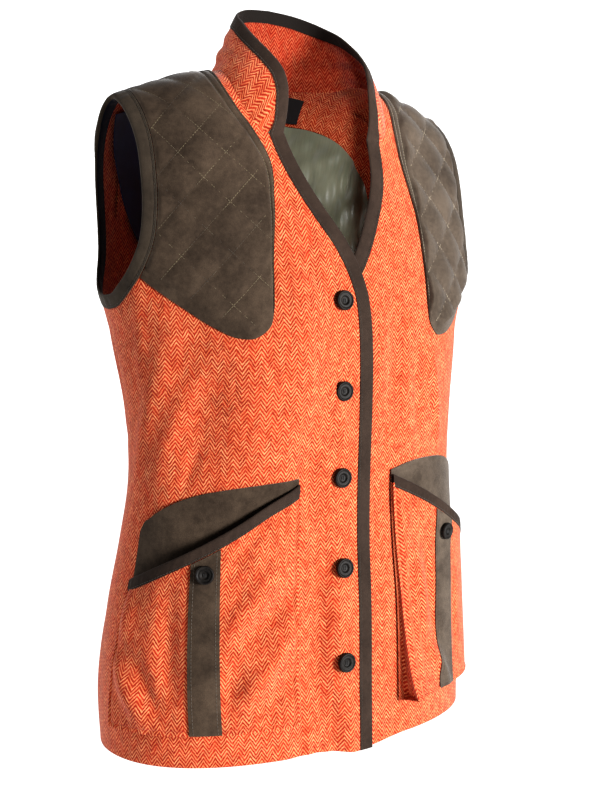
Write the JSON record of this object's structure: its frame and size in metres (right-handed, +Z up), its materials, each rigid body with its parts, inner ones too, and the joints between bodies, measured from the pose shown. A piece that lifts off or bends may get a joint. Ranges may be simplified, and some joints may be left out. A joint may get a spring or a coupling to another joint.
{
  "type": "gilet",
  "caption": "Fitted sleeveless tweed shooting gilet with stand collar, button front, quilted shoulder patches and bellows pockets, standing hollow as worn.",
  "frame": {"origin": "middle of the neck, level with the points where the shoulder line meets the collar, where the wearer's shoulders carry it", "axes": "+Z up, the front faces -Y, the wearer's right is -X"},
  "size_m": [0.4462, 0.2646, 0.7591],
  "materials": {
    "tweed": "orange-red herringbone tweed, matt and slightly hairy",
    "suede": "brown suede with a short nap",
    "binding": "brown suede-like tape, folded over the edge",
    "satin_lining": "olive satin with a soft sheen",
    "dark_lining": "navy lining, smooth",
    "label": "black woven label, bare",
    "button": "near-black horn look, half gloss"
  },
  "bodies": {
    "root": {"front_right": "tweed", "front_left": "tweed", "back": "tweed", "collar": "tweed", "pocket_bag_right": "tweed", "pocket_bag_left": "tweed", "back_neck_facing": "tweed", "edge_binding": "binding", "armhole_binding_right": "binding", "armhole_binding_left": "binding", "pocket_mouth_right": "binding", "pocket_mouth_left": "binding", "shoulder_patch_right": "suede", "shoulder_patch_left": "suede", "pocket_backing_right": "suede", "pocket_backing_left": "suede", "pocket_strap_right": "suede", "pocket_strap_left": "suede", "back_lining": "satin_lining", "arm_lining_right": "dark_lining", "arm_lining_left": "dark_lining", "label": "label", "front_button_1": "button", "front_button_2": "button", "front_button_3": "button", "front_button_4": "button", "front_button_5": "button", "pocket_button_right": "button", "pocket_button_left": "button"}
  },
  "joints": []
}
